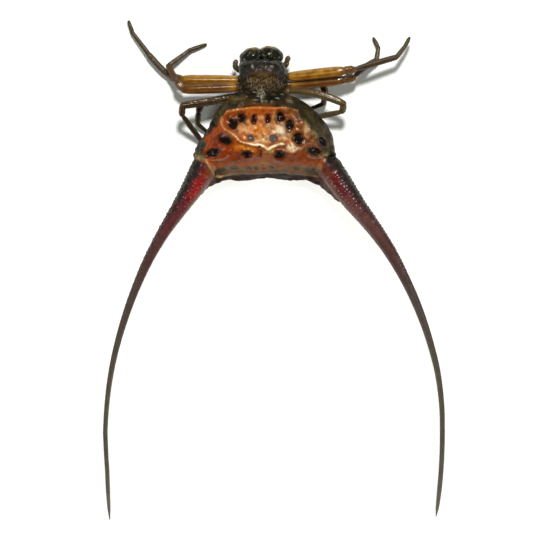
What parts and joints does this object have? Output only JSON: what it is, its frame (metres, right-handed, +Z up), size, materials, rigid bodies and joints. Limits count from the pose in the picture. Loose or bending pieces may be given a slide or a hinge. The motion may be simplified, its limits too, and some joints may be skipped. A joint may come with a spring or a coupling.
{
  "type": "spiny orb weaver spider",
  "caption": "Life-size dried spiny orb weaver with a spotted orange abdomen, folded legs and a pair of very long curved horns.",
  "frame": {"origin": "centre of the footprint, on the surface that the spider lies on", "axes": "+Z up, the way the back faces; +Y towards the head, along the body; +X towards the spider's right side"},
  "size_m": [0.0224, 0.0324, 0.0034],
  "materials": {
    "abdomen": "glossy hardened skin, orange with dark pits and a pale rim",
    "median_spines": "grainy horn, crimson and black at the root, brown to dark olive at the tip",
    "prosoma": "black to dark brown shell with sparse pale hairs",
    "chelicerae": "polished black",
    "palps": "dark brown, slightly glossy",
    "legs": "glossy honey brown, darker at the joints and feet",
    "spinnerets": "dull dark brown"
  },
  "bodies": {
    "root": {"prosoma": "prosoma", "chelicera_l": "chelicerae", "chelicera_r": "chelicerae", "palp_l": "palps", "palp_r": "palps", "leg_1_l": "legs", "leg_1_r": "legs", "leg_2_l": "legs", "leg_2_r": "legs", "leg_3_l": "legs", "leg_3_r": "legs", "leg_4_l": "legs", "leg_4_r": "legs", "abdomen": "abdomen", "spinnerets": "spinnerets", "median_spine_l": "median_spines", "median_spine_r": "median_spines"}
  },
  "joints": []
}
